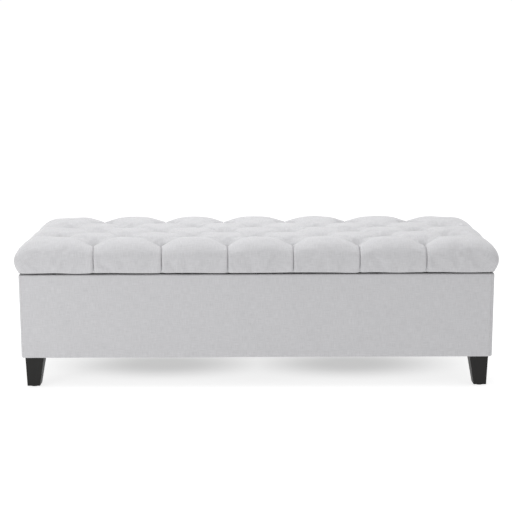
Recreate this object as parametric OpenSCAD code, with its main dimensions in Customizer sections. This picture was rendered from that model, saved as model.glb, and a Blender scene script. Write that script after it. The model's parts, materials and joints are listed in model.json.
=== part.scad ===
// Upholstered storage bench: a padded box on four tapered legs under a hinged, diamond-tufted lid.
// Millimetres. The origin is on the floor at the middle of the plan, +Z is up and the front faces -Y.

/* [Overall] */
// Width across the widest part of the lid
bench_w = 1290; // [1100:10:1500]
// Depth across the widest part of the lid
bench_d = 490; // [470:5:560]
// Height of the legs, from the floor to the underside of the box
leg_h = 84; // [60:1:130]
// Height of the upholstered box, from its underside to its rim
box_h = 228; // [220:1:320]
// Height of the lid cushion, from its hem to the crest of its tufts
cushion_h = 88; // [70:1:110]
// Shadow gap between the rim and the lid's hem
lid_gap = 4; // [4:0.5:8]

/* [Box] */
// How far the cushion bulges past the box on every side
bulge = 9.5; // [9:0.5:14]
// Thickness of the box's wooden panels
panel_t = 15; // [12:1:18]
// Thickness of the storage floor
floor_t = 12; // [9:1:15]
// Height of the ledgers and corner blocks under the storage floor
ledger_h = 28; // [22:1:32]
// Thickness of the foam sheet under the outer fabric
pad_t = 5; // [3:1:8]
// Thickness of the upholstery fabric
fabric_t = 1.2; // [0.8:0.1:2]
// Radius of the box's upright corners
box_corner_r = 12; // [8:1:20]

/* [Legs] */
// Width of a leg at the top
leg_top = 50; // [40:1:60]
// Width of a leg at the bottom
leg_bottom = 34; // [26:1:40]
// How far a leg stands in from the box's faces
leg_inset = 10; // [6:1:20]

/* [Lid] */
// Thickness of the lid board
board_t = 15; // [12:1:18]
// Buttons in the front row; every second row has one more
front_tufts = 6; // [5:1:7]
// Distance from the outermost buttons to the ends of the lid
end_margin = 102; // [95:1:130]
// Distance from the front and back rows of buttons to the edge of the lid
row_margin = 79; // [76:1:95]
// Depth of a tuft, from the crest to the seat under its button
tuft_depth = 38; // [20:1:40]
// Radius of a fabric-covered button
button_r = 11; // [9:0.5:14]

/* [Hardware] */
// Distance between the outer hinges and the middle one
hinge_spacing = 430; // [300:5:480]
// Width of a hinge
hinge_w = 64; // [50:1:80]
// Distance from the hinge axis to the two pivots of a lid stay
stay_r = 95; // [80:1:96]
// Angle that the lid opens through
lid_open = 90; // [80:1:95]

/* [Hidden] */
$fn = 48;
eps = 0.01;

fabric_grey = [0.78, 0.78, 0.80];
lining_black = [0.13, 0.13, 0.14];
leg_black = [0.11, 0.10, 0.09];
plywood = [0.80, 0.66, 0.47];
pine = [0.86, 0.74, 0.54];
foam_cream = [0.93, 0.90, 0.80];
steel = [0.62, 0.63, 0.65];
rubber_black = [0.08, 0.08, 0.08];

// Box, from the outside in
rim_z = leg_h + box_h;
box_w = bench_w - 2 * bulge;
box_d = bench_d - 2 * bulge;
frame_w = box_w - 2 * (fabric_t + pad_t);
frame_d = box_d - 2 * (fabric_t + pad_t);
inner_w = frame_w - 2 * panel_t;
inner_d = frame_d - 2 * panel_t;
frame_z = leg_h + fabric_t;
frame_h = box_h - 2 * fabric_t;
fold_w = 25;                // fabric folded under the box
return_h = 26;              // fabric folded down inside the rim
lining_t = 0.8;
floor_z = frame_z + ledger_h;
play = 0.3;                 // room between parts that only meet
lining_top = rim_z - return_h - play;
bumper_r = 5;
bumper_inset = 95;          // from the box's end to the middle of its outer front bumpers

// Floor structure
ledger_w = 25;
block_w = 70;
batten_w = 40;
batten_x = inner_w / 6;

// Legs
leg_x = box_w / 2 - leg_inset - leg_top / 2;
leg_y = box_d / 2 - leg_inset - leg_top / 2;
leg_outer_taper = 2.5;
glide_h = 3;
glide_r = 11;
bolt_r = 4;
bolt_in_leg = 32;
tnut_barrel_r = 5.4;
tnut_flange_r = 10;
tnut_flange_t = 1.6;
glide_nail_r = 1.2;
glide_nail_l = 12;

// Screws
screw_r = 1.7;
screw_head_r = 3.4;
recess_w = 0.9;             // cross recess in a screw head
recess_depth = 1.2;
frame_screw_r = 2.4;
frame_screw_head_r = 4.6;
frame_screw_l = 50;

// Lid
hem_z = rim_z + lid_gap;
board_z = hem_z + fabric_t;
crest_z = hem_z + cushion_h;
board_w = box_w - 2 * (fabric_t + play);
board_d = box_d - 2 * (fabric_t + play);
lid_fold_w = 16;            // fabric folded under the lid board
corner_r = 22;              // plan radius of the cushion's corners along its widest line
corner_growth = 0.5;        // how much that radius grows per millimetre that the cushion draws in
board_corner_r = corner_r + bulge * corner_growth + 2 * fabric_t;
widest_z = 32;              // height of the cushion's widest line above the hem
crown_r = 62;               // how far the crown rounds in from the widest line
dimple_r = 36;
tuft_pitch = (bench_w - 2 * end_margin) / front_tufts;
row_pitch = (bench_d - 2 * row_margin) / 4;
tie_r = 1.2;
anchor_r = 7;
anchor_t = 1;
button_h = 8;

// Inset from the widest line and height above the hem, from the hem up to the crest
cushion_profile = concat(
    [for (i = [0:3]) [bulge * pow(1 - i / 4, 2), widest_z * i / 4]],
    [for (a = [0:15:90]) [crown_r * (1 - cos(a)), widest_z + (cushion_h - widest_z) * sin(a)]]);

// Hinges
axis_y = box_d / 2 + 4.7;
axis_z = rim_z + 1.55;
knuckle_r = 4;
pin_r = 2;
pin_play = 0.06;
leaf_t = 1.5;
lid_leaf_z = axis_z + 0.05;
lid_leaf_t = hem_z - lining_t - lid_leaf_z;
knuckle_w = hinge_w / 3;
base_leaf_front = inner_d / 2 + 1;
lid_leaf_front = inner_d / 2 - 8;
base_screw_y = frame_d / 2 - panel_t / 2;
lid_screw_y = base_screw_y - 6;
hinge_screw_l = 15;

// Lid stays: both pivots are stay_r from the hinge axis, so the straight slot keeps to the stud exactly
// while the arm turns half as far as the lid
stay_lid_angle = 8;         // of the lid's pivot below the horizontal, seen from the hinge axis
stay_start = 20;            // between the two pivots, seen from the hinge axis, with the lid shut
stay_pivot = [axis_y - stay_r * cos(stay_lid_angle), axis_z - stay_r * sin(stay_lid_angle)];
stay_stud = [axis_y - stay_r * cos(stay_lid_angle + stay_start),
             axis_z - stay_r * sin(stay_lid_angle + stay_start)];
stay_shut = 2 * stay_r * sin(stay_start / 2);
stay_full = 2 * stay_r * sin((stay_start + lid_open) / 2);
stay_w = 16;
stay_t = 2;
stay_slack = 1;
stud_r = 3;
slot_r = 3.4;
rivet_r = 2.5;
wall_x = inner_w / 2 - lining_t;
stay_x = wall_x - 7;        // inner face of the arm
ear_x = stay_x + stay_t + 0.5;
flange_w = 26;
plate_h = 32;
plate_w = 26;

// ---------- shapes that repeat ----------

module rounded_rect(w, d, r) {
    square([w - 2 * r, d], center = true);
    square([w, d - 2 * r], center = true);
    for (x = [-1, 1], y = [-1, 1])
        translate([x * (w / 2 - r), y * (d / 2 - r)]) circle(r);
}

module ring(w, d, r, t, z, h) {
    translate([0, 0, z]) linear_extrude(h) difference() {
        rounded_rect(w, d, r);
        if (r > t)
            rounded_rect(w - 2 * t, d - 2 * t, r - t);
        else
            square([w - 2 * t, d - 2 * t], center = true);
    }
}

module slab(w, d, z, h) {
    translate([-w / 2, -d / 2, z]) cube([w, d, h]);
}

module at_corners(x, y) {
    for (sx = [-1, 1], sy = [-1, 1])
        translate([sx * x, sy * y, 0]) children();
}

// A countersunk screw whose head is flush with z = 0 and whose shank runs down
module screw(r, head_r, length) {
    translate([0, 0, -length]) cylinder(r = r, h = length);
    translate([0, 0, r - head_r]) cylinder(r1 = r, r2 = head_r, h = head_r - r);
}

// The same screw with a cross recess for the driver
module driven_screw(r, head_r, length) {
    reach = head_r * 1.15;
    difference() {
        screw(r, head_r, length);
        for (turn = [0, 90])
            rotate([0, 0, turn]) translate([-reach / 2, -recess_w / 2, -recess_depth])
                cube([reach, recess_w, recess_depth + 1]);
    }
}

module at_hinges() {
    for (i = [-1:1])
        translate([i * hinge_spacing, 0, 0]) children();
}

// Both ends of the bench: the second is the mirror image of the first
module at_both_ends() {
    children();
    mirror([1, 0, 0]) children();
}

// Five rows of buttons, each set half a pitch along from the next
module at_tufts() {
    for (row = [-2:2]) {
        last = front_tufts - 1 + abs(row % 2);
        for (i = [0:last])
            translate([(i - last / 2) * tuft_pitch, row * row_pitch, crest_z]) children();
    }
}

// ---------- box frame ----------

module at_frame_screws() {
    for (x = [-1, 1], z = [24, 110, 196])
        translate([x * (inner_w / 2 + panel_t / 2), 0, frame_z + z]) {
            translate([0, -frame_d / 2, 0]) rotate([90, 0, 0]) children();
            translate([0, frame_d / 2, 0]) rotate([-90, 0, 0]) children();
        }
}

module at_base_hinge_screws() {
    at_hinges() for (x = [-22, 0, 22])
        translate([x, base_screw_y, rim_z + leaf_t]) children();
}

module long_panel(side) {
    color(plywood) difference() {
        translate([-frame_w / 2, side > 0 ? frame_d / 2 - panel_t : -frame_d / 2, frame_z])
            cube([frame_w, panel_t, frame_h]);
        at_frame_screws() screw(frame_screw_r, frame_screw_head_r, frame_screw_l);
        if (side > 0)
            at_base_hinge_screws() screw(screw_r, screw_head_r, hinge_screw_l);
    }
}

module front_panel() { long_panel(-1); }

module back_panel() { long_panel(1); }

module at_stay_plate_screws() {
    for (z = [-1, 1])
        translate([wall_x - stay_t, stay_stud[0], plate_mid_z() + z * 10]) rotate([0, -90, 0]) children();
}

function plate_mid_z() = lining_top - plate_h / 2 - 1;

module end_panel() {
    color(plywood) difference() {
        translate([inner_w / 2, -inner_d / 2, frame_z]) cube([panel_t, inner_d, frame_h]);
        at_frame_screws() screw(frame_screw_r, frame_screw_head_r, frame_screw_l);
        at_stay_plate_screws() screw(screw_r, screw_head_r, 14);
    }
}

module left_end_panel() { mirror([1, 0, 0]) end_panel(); }

module right_end_panel() { end_panel(); }

module corner_blocks() {
    color(pine) at_both_ends() for (side = [-1, 1])
        difference() {
            translate([inner_w / 2 - block_w, side * (inner_d - block_w) / 2 - block_w / 2, frame_z])
                cube([block_w, block_w, ledger_h]);
            translate([leg_x, side * leg_y, frame_z - 1]) cylinder(r = tnut_barrel_r, h = ledger_h + 2);
            translate([leg_x, side * leg_y, floor_z - tnut_flange_t])
                cylinder(r = tnut_flange_r, h = tnut_flange_t + 1);
        }
}

module floor_ledgers() {
    long = inner_w - 2 * block_w;
    short = inner_d - 2 * block_w;
    color(pine) {
        for (side = [-1, 1])
            translate([-long / 2, side * (inner_d - ledger_w) / 2 - ledger_w / 2, frame_z])
                cube([long, ledger_w, ledger_h]);
        at_both_ends()
            translate([inner_w / 2 - ledger_w, -short / 2, frame_z]) cube([ledger_w, short, ledger_h]);
    }
}

module floor_battens() {
    span = inner_d - 2 * ledger_w;
    color(pine) at_both_ends()
        translate([batten_x - batten_w / 2, -span / 2, frame_z]) cube([batten_w, span, ledger_h]);
}

module floor_panel() {
    color(plywood) slab(inner_w - 2 * play, inner_d - 2 * play, floor_z, floor_t);
}

module frame_screws() {
    color(steel) at_frame_screws() screw(frame_screw_r, frame_screw_head_r, frame_screw_l);
}

// ---------- box upholstery ----------

// Four foam sheets: the long ones wrap the corners and the end ones stand between them
module base_padding() {
    outer_w = box_w - 2 * fabric_t;
    color(foam_cream) translate([0, 0, frame_z]) linear_extrude(frame_h) intersection() {
        rounded_rect(outer_w, box_d - 2 * fabric_t, box_corner_r - fabric_t);
        for (side = [-1, 1]) {
            translate([0, side * (frame_d + pad_t) / 2]) square([outer_w, pad_t], center = true);
            translate([side * (frame_w + pad_t) / 2, 0]) square([pad_t, frame_d - 2 * play], center = true);
        }
    }
}

module base_cover() {
    rim_band = fabric_t + pad_t + panel_t + fabric_t;
    color(fabric_grey) difference() {
        union() {
            ring(box_w, box_d, box_corner_r, fabric_t, leg_h, box_h);
            ring(box_w, box_d, box_corner_r, rim_band, rim_z - fabric_t, fabric_t);
            ring(inner_w, inner_d, fabric_t, fabric_t, rim_z - return_h, return_h);
            ring(box_w, box_d, box_corner_r, fold_w, leg_h, fabric_t);
        }
        at_base_hinge_screws() screw(screw_r, screw_head_r, hinge_screw_l);
        at_corners(leg_x, leg_y) translate([0, 0, leg_h - 1]) cylinder(r = tnut_barrel_r, h = 3);
    }
}

module storage_lining() {
    base_z = floor_z + floor_t;
    color(lining_black) difference() {
        slab(inner_w, inner_d, base_z, lining_top - base_z);
        slab(inner_w - 2 * lining_t, inner_d - 2 * lining_t, base_z + lining_t, box_h);
        at_both_ends() at_stay_plate_screws() screw(screw_r, screw_head_r, 14);
    }
}

module dust_cover() {
    w = box_w - 2 * fold_w - 2 * play;
    d = box_d - 2 * fold_w - 2 * play;
    color(lining_black) difference() {
        slab(w, d, leg_h, lining_t);
        at_corners(leg_x, leg_y) translate([0, 0, leg_h - 1]) cylinder(r = bolt_r + 1, h = 3);
    }
}

// ---------- legs ----------

// Outline of a leg seen square on: the outer side leans in a little and the inner side a lot
module leg_outline() {
    polygon([[leg_top / 2, leg_h], [-leg_top / 2, leg_h],
             [leg_top / 2 - leg_outer_taper - leg_bottom, glide_h], [leg_top / 2 - leg_outer_taper, glide_h]]);
}

module leg(side_x, side_y) {
    color(leg_black) translate([side_x * leg_x, side_y * leg_y, 0]) difference() {
        intersection() {
            mirror([side_x < 0 ? 1 : 0, 0, 0])
                translate([0, leg_top / 2, 0]) rotate([90, 0, 0]) linear_extrude(leg_top) leg_outline();
            mirror([0, side_y < 0 ? 1 : 0, 0])
                translate([-leg_top / 2, 0, 0]) rotate([90, 0, 90]) linear_extrude(leg_top) leg_outline();
        }
        translate([0, 0, leg_h - bolt_in_leg]) cylinder(r = bolt_r, h = bolt_in_leg + 1);
        translate(foot_shift(side_x, side_y)) cylinder(r = glide_nail_r, h = glide_h + glide_nail_l);
    }
}

// A leg's foot is nearer the outside of the bench than its top
function foot_shift(side_x, side_y) =
    let (s = leg_top / 2 - leg_outer_taper - leg_bottom / 2) [side_x * s, side_y * s, 0];

module leg_front_left() { leg(-1, -1); }

module leg_front_right() { leg(1, -1); }

module leg_back_left() { leg(-1, 1); }

module leg_back_right() { leg(1, 1); }

module leg_bolts() {
    color(steel) at_corners(leg_x, leg_y)
        translate([0, 0, leg_h - bolt_in_leg]) cylinder(r = bolt_r, h = bolt_in_leg + ledger_h - 2);
}

module leg_tnuts() {
    color(steel) at_corners(leg_x, leg_y) difference() {
        union() {
            translate([0, 0, frame_z + 8]) cylinder(r = tnut_barrel_r, h = ledger_h - 8);
            translate([0, 0, floor_z - tnut_flange_t]) cylinder(r = tnut_flange_r, h = tnut_flange_t);
        }
        translate([0, 0, leg_h]) cylinder(r = bolt_r + 0.05, h = 2 * ledger_h);
    }
}

module leg_glides() {
    color(rubber_black) for (x = [-1, 1], y = [-1, 1])
        translate([x * leg_x, y * leg_y, 0] + foot_shift(x, y)) {
            cylinder(r = glide_r, h = glide_h);
            cylinder(r = glide_nail_r, h = glide_h + glide_nail_l);
        }
}

module rim_bumpers() {
    bumper_h = lid_gap - lining_t - 0.2;
    rim_mid = fabric_t + pad_t + panel_t / 2;
    color(rubber_black) translate([0, 0, rim_z]) {
        for (x = [-1:1])
            translate([x * (box_w / 2 - bumper_inset), rim_mid - box_d / 2, 0])
                cylinder(r = bumper_r, h = bumper_h);
        at_both_ends()
            translate([box_w / 2 - rim_mid, -box_d / 8, 0]) cylinder(r = bumper_r, h = bumper_h);
    }
}

// ---------- lid ----------

// The cushion's outer form, drawn in by t all round
module cushion_form(t) {
    hull() for (point = cushion_profile) {
        inset = point[0] + t;
        height = min(point[1], cushion_h - t) - eps;
        translate([0, 0, hem_z + max(0, height)]) linear_extrude(eps)
            rounded_rect(bench_w - 2 * inset, bench_d - 2 * inset, corner_r + inset * corner_growth, $fn = 32);
    }
}

// The conical wells that the buttons pull into the cushion, t larger all round
module tuft_wells(t) {
    at_tufts() translate([0, 0, -tuft_depth - t])
        cylinder(r1 = button_r + 1 + t, r2 = dimple_r + t, h = tuft_depth + t + eps);
}

module at_lid_hinge_screws() {
    at_hinges() for (x = [-16, 16])
        translate([x, lid_screw_y, lid_leaf_z]) rotate([180, 0, 0]) children();
}

module at_stay_flange_screws() {
    for (y = [-1, 1])
        translate([ear_x - 14, stay_pivot[0] + y * 11, hem_z - lining_t - stay_t]) rotate([180, 0, 0]) children();
}

module lid_screw_holes() {
    at_lid_hinge_screws() screw(screw_r, screw_head_r, hinge_screw_l);
    at_both_ends() at_stay_flange_screws() screw(screw_r, screw_head_r, hinge_screw_l);
}

// The lid board's outline with round corners, t larger all round
module board_form(t, z, h) {
    translate([0, 0, z]) linear_extrude(h)
        rounded_rect(board_w + 2 * t, board_d + 2 * t, board_corner_r + t);
}

module lid_board() {
    color(plywood) difference() {
        board_form(0, board_z, board_t);
        at_tufts() translate([0, 0, board_z - crest_z - 1]) cylinder(r = tie_r + 0.8, h = board_t + 2);
        lid_screw_holes();
    }
}

module lid_foam() {
    skin = fabric_t + play;
    color(foam_cream) difference() {
        intersection() {
            cushion_form(skin);
            slab(bench_w, bench_d, board_z + 0.2, cushion_h);
        }
        tuft_wells(skin);
        board_form(play / 2, hem_z - 1, board_t + fabric_t + 1 + play / 2);
        at_tufts() translate([0, 0, board_z - crest_z]) cylinder(r = tie_r + 0.3, h = cushion_h);
    }
}

module lid_cover() {
    open_w = box_w - 2 * lid_fold_w;
    open_d = box_d - 2 * lid_fold_w;
    color(fabric_grey) difference() {
        cushion_form(0);
        tuft_wells(0);
        difference() {
            intersection() {
                cushion_form(fabric_t);
                slab(bench_w, bench_d, board_z, cushion_h);
            }
            tuft_wells(fabric_t);
        }
        slab(open_w, open_d, hem_z - 1, fabric_t + 2);
        at_tufts() translate([0, 0, -tuft_depth - 3]) cylinder(r = tie_r + 0.3, h = 4);
    }
}

module tuft_buttons() {
    dome_r = (button_r * button_r + button_h * button_h / 4) / button_h;
    color(fabric_grey) at_tufts() translate([0, 0, -tuft_depth]) {
        cylinder(r = button_r, h = button_h / 2);
        intersection() {
            translate([0, 0, button_h - dome_r]) sphere(r = dome_r);
            translate([0, 0, button_h / 2 - eps]) cylinder(r = button_r, h = button_h);
        }
    }
}

module tuft_ties() {
    tie_top = -tuft_depth;
    tie_bottom = board_z - crest_z - anchor_t;
    color(pine) at_tufts() {
        translate([0, 0, tie_bottom]) cylinder(r = tie_r, h = tie_top - tie_bottom);
        translate([0, 0, tie_bottom]) cylinder(r = anchor_r, h = anchor_t - 0.05);
    }
}

module lid_lining() {
    color(lining_black) difference() {
        slab(box_w - 10, box_d - 10, hem_z - lining_t, lining_t);
        lid_screw_holes();
    }
}

// ---------- hinges ----------

// One third of a hinge's barrel, at position i of -1, 0 and 1 along the pin
module knuckle(i, bore) {
    translate([i * knuckle_w, axis_y, axis_z]) rotate([0, 90, 0]) difference() {
        cylinder(r = knuckle_r, h = knuckle_w - play, center = true);
        cylinder(r = bore, h = knuckle_w + 1, center = true);
    }
}

// A leaf reaches its own knuckles and stops short of the other leaf's
module leaf_plate(front, z, t, own) {
    clear = knuckle_r + 0.5;
    translate([-hinge_w / 2, front, z]) cube([hinge_w, axis_y - clear - front, t]);
    for (i = own)
        translate([(i - 0.5) * knuckle_w + play / 2, front, z])
            cube([knuckle_w - play, axis_y - pin_r - 0.5 - front, t]);
}

module hinge_base_leaves() {
    color(steel) difference() {
        at_hinges() {
            leaf_plate(base_leaf_front, rim_z, leaf_t, [-1, 1]);
            knuckle(-1, pin_r);
            knuckle(1, pin_r);
        }
        at_base_hinge_screws() screw(screw_r, screw_head_r, hinge_screw_l);
    }
}

module hinge_lid_leaves() {
    color(steel) difference() {
        at_hinges() {
            leaf_plate(lid_leaf_front, lid_leaf_z, lid_leaf_t, [0]);
            knuckle(0, pin_r + pin_play);
        }
        at_lid_hinge_screws() screw(screw_r, screw_head_r, hinge_screw_l);
    }
}

module hinge_pins() {
    color(steel) at_hinges() translate([0, axis_y, axis_z]) rotate([0, 90, 0])
        cylinder(r = pin_r, h = hinge_w + 1, center = true);
}

module hinge_base_screws() {
    color(steel) at_base_hinge_screws() driven_screw(screw_r, screw_head_r, hinge_screw_l);
}

module hinge_lid_screws() {
    color(steel) at_lid_hinge_screws() driven_screw(screw_r, screw_head_r, hinge_screw_l);
}

// ---------- lid stays ----------

// A round bar along X between two places, on a pivot given as [y, z]
module cross_bar(pivot, from_x, to_x, r) {
    translate([from_x, pivot[0], pivot[1]]) rotate([0, 90, 0]) cylinder(r = r, h = to_x - from_x);
}

module stay_base_plate() {
    difference() {
        union() {
            translate([wall_x - stay_t, stay_stud[0] - plate_w / 2, plate_mid_z() - plate_h / 2])
                cube([stay_t, plate_w, plate_h]);
            cross_bar(stay_stud, stay_x + stay_t + 0.4, wall_x - stay_t, 5.5);
            cross_bar(stay_stud, stay_x - 2, wall_x - stay_t, stud_r);
            cross_bar(stay_stud, stay_x - 2, stay_x - 0.4, 6);
        }
        at_stay_plate_screws() screw(screw_r, screw_head_r, 14);
    }
}

module stay_base_plates() {
    color(steel) at_both_ends() stay_base_plate();
}

module stay_base_screws() {
    color(steel) at_both_ends() at_stay_plate_screws() driven_screw(screw_r, screw_head_r, 14);
}

// An angle bracket: a flange under the lid and an ear that hangs down to the arm's pivot
module stay_lid_bracket() {
    under_lid = hem_z - lining_t;
    difference() {
        union() {
            translate([ear_x + stay_t - flange_w, stay_pivot[0] - 18, under_lid - stay_t])
                cube([flange_w, 36, stay_t]);
            translate([ear_x, stay_pivot[0] - 8, stay_pivot[1]])
                cube([stay_t, 16, under_lid - stay_pivot[1]]);
            cross_bar(stay_pivot, ear_x, ear_x + stay_t, 8);
        }
        cross_bar(stay_pivot, ear_x - 1, ear_x + stay_t + 1, rivet_r);
        at_stay_flange_screws() screw(screw_r, screw_head_r, hinge_screw_l);
    }
}

module stay_lid_brackets() {
    color(steel) at_both_ends() stay_lid_bracket();
}

module stay_lid_screws() {
    color(steel) at_both_ends() at_stay_flange_screws() driven_screw(screw_r, screw_head_r, hinge_screw_l);
}

module stay_rivets() {
    color(steel) at_both_ends() {
        cross_bar(stay_pivot, stay_x - 1.6, ear_x + stay_t + 1, rivet_r);
        cross_bar(stay_pivot, stay_x - 1.6, stay_x - 0.4, 5);
        cross_bar(stay_pivot, ear_x + stay_t, ear_x + stay_t + 1, 5);
    }
}

// A flat bar of rounded ends between two distances along the arm
module arm_bar(from, to, r, t) {
    translate([0, from, 0]) cylinder(r = r, h = t);
    translate([0, to, 0]) cylinder(r = r, h = t);
    translate([-r, from, 0]) cube([2 * r, to - from, t]);
}

// The slotted arm: it turns on the lid's rivet and slides along the stud on the end panel
module stay_arm() {
    reach = stay_full + stay_slack;
    lean = atan2(stay_stud[0] - stay_pivot[0], stay_pivot[1] - stay_stud[1]);
    color(steel) translate([stay_x, stay_pivot[0], stay_pivot[1]]) rotate([lean - 90, 0, 0])
        rotate([90, 0, 90]) rotate([0, 0, -90]) difference() {
            arm_bar(0, reach, stay_w / 2, stay_t);
            translate([0, 0, -1]) cylinder(r = rivet_r + pin_play, h = stay_t + 2);
            translate([0, 0, -1]) arm_bar(stay_shut - stay_slack, reach, slot_r, stay_t + 2);
        }
}

module stay_arm_left() { mirror([1, 0, 0]) stay_arm(); }

module stay_arm_right() { stay_arm(); }

// ---------- assembly ----------

front_panel();
back_panel();
left_end_panel();
right_end_panel();
floor_ledgers();
corner_blocks();
floor_battens();
floor_panel();
frame_screws();
base_padding();
base_cover();
storage_lining();
dust_cover();
leg_front_left();
leg_front_right();
leg_back_left();
leg_back_right();
leg_bolts();
leg_tnuts();
leg_glides();
rim_bumpers();
hinge_base_leaves();
hinge_pins();
hinge_base_screws();
stay_base_plates();
stay_base_screws();
lid_board();
lid_foam();
lid_cover();
tuft_buttons();
tuft_ties();
lid_lining();
hinge_lid_leaves();
hinge_lid_screws();
stay_lid_brackets();
stay_lid_screws();
stay_rivets();
stay_arm_left();
stay_arm_right();
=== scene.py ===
import json
import math
from contextlib import contextmanager

import bmesh
import bpy
import numpy as np
from mathutils import Euler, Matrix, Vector


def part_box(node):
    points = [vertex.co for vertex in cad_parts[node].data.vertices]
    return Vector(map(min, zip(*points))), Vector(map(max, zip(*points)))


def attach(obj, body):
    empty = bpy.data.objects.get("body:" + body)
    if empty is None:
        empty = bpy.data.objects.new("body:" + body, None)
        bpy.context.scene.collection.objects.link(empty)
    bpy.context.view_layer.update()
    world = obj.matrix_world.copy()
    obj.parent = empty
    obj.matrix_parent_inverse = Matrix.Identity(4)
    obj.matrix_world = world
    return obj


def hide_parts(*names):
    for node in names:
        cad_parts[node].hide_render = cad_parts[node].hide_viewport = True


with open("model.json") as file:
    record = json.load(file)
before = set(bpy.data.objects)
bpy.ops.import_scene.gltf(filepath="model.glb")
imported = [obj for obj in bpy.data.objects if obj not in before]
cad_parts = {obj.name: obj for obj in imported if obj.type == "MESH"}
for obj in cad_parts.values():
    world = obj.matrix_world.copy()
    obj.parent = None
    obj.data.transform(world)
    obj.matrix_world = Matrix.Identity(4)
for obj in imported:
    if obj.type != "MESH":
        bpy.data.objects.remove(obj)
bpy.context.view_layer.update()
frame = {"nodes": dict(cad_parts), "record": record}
scene = bpy.context.scene
MM = 0.001

# ---------- what the frame says ----------


def box_mm(node):
    """Lowest and highest corner of a CAD node, in millimetres."""
    low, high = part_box(node)
    return np.array(low) / MM, np.array(high) / MM


def solid_middles(node, reach):
    """The middle of each of a node's separate solids, all smaller than reach, in millimetres."""
    points = np.array([v.co for v in frame["nodes"][node].data.vertices]) / MM
    middles = []
    while len(points):
        near = np.linalg.norm(points - points[0], axis=1) < reach
        middles.append((points[near].min(0) + points[near].max(0)) / 2)
        points = points[~near]
    return np.array(middles)


lid_low, lid_high = box_mm("lid_cover")
box_low, box_high = box_mm("base_cover")
button_low, button_high = box_mm("tuft_buttons")
board_low, board_high = box_mm("lid_board")
lining_high = box_mm("lid_lining")[1]
panel_low = box_mm("front_panel")[0]
end_low = box_mm("right_end_panel")[0]
buttons = solid_middles("tuft_buttons", reach=45)
row_ys = np.unique(np.round(buttons[:, 1], 1))
front_row = np.sort(buttons[np.abs(buttons[:, 1] - row_ys[0]) < 1, 0])
second_row = np.sort(buttons[np.abs(buttons[:, 1] - row_ys[1]) < 1, 0])
row_pitch = row_ys[1] - row_ys[0]
tuft_pitch = front_row[1] - front_row[0]
button_r = button_high[0] - second_row[-1]

# ---------- small tools ----------


def waves(points, seed, length, count=24):
    """Smooth, repeatable noise of about unit height: a sum of sine waves of about that wavelength."""
    rng = np.random.default_rng(seed)
    heading = rng.normal(size=(count, points.shape[1]))
    heading /= np.linalg.norm(heading, axis=1)[:, None]
    stretch = rng.uniform(0.7, 1.6, count)
    turns = points @ (heading * (stretch * 2 * math.pi / length)[:, None]).T
    return np.sin(turns + rng.uniform(0, 2 * math.pi, count)).sum(1) / math.sqrt(count / 2)


def smooth_step(x, start, end):
    """0 up to start, 1 from end on, and a smooth rise between them."""
    t = np.clip((x - start) / (end - start), 0, 1)
    return t * t * (3 - 2 * t)


@contextmanager
def editing(mesh):
    """Opens a mesh for editing, and puts the result back."""
    made = bmesh.new()
    made.from_mesh(mesh)
    yield made
    made.to_mesh(mesh)
    made.free()


def make_object(name, points_mm, faces, threads=None, folds=()):
    """A mesh from points in millimetres. threads are each point's place on the flat cloth, and folds
    are edges that stay sharp."""
    mesh = bpy.data.meshes.new(name)
    mesh.from_pydata((np.asarray(points_mm) * MM).tolist(), [], [list(f) for f in faces])
    if threads is not None:
        attribute = mesh.attributes.new("threads", "FLOAT_VECTOR", "POINT")
        flat = np.column_stack([threads, np.zeros(len(threads))]) * MM
        attribute.data.foreach_set("vector", flat.astype(np.float32).ravel())
    with editing(mesh) as made:
        bmesh.ops.recalc_face_normals(made, faces=made.faces)
        if folds:
            crease = made.edges.layers.float.new("crease_edge")
            made.verts.ensure_lookup_table()
        for a, b in folds:
            edge = made.edges.get((made.verts[a], made.verts[b]))
            edge.smooth = False
            edge[crease] = 1.0
    for polygon in mesh.polygons:
        polygon.use_smooth = True
    obj = bpy.data.objects.new(name, mesh)
    scene.collection.objects.link(obj)
    return obj


def read_points(mesh):
    """A mesh's points in metres."""
    flat = np.zeros(len(mesh.vertices) * 3)
    mesh.vertices.foreach_get("co", flat)
    return flat.reshape(-1, 3)


def finish_piece(obj, body, slot, *nodes):
    """Gives a piece its material, the body it rides on and the CAD nodes it stands for."""
    obj.data.materials.clear()
    obj.data.materials.append(slot_materials[slot])
    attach(obj, body)
    if nodes:
        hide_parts(*nodes)


# ---------- materials ----------


def node(tree, kind, inputs=None, **settings):
    """A new shader node: inputs holds numbers, colours or other nodes' sockets by input name or index."""
    made = tree.nodes.new("ShaderNode" + kind)
    for key, value in settings.items():
        setattr(made, key, value)
    for key, value in (inputs or {}).items():
        if isinstance(value, bpy.types.NodeSocket):
            tree.links.new(value, made.inputs[key])
        else:
            made.inputs[key].default_value = value
    return made


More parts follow.
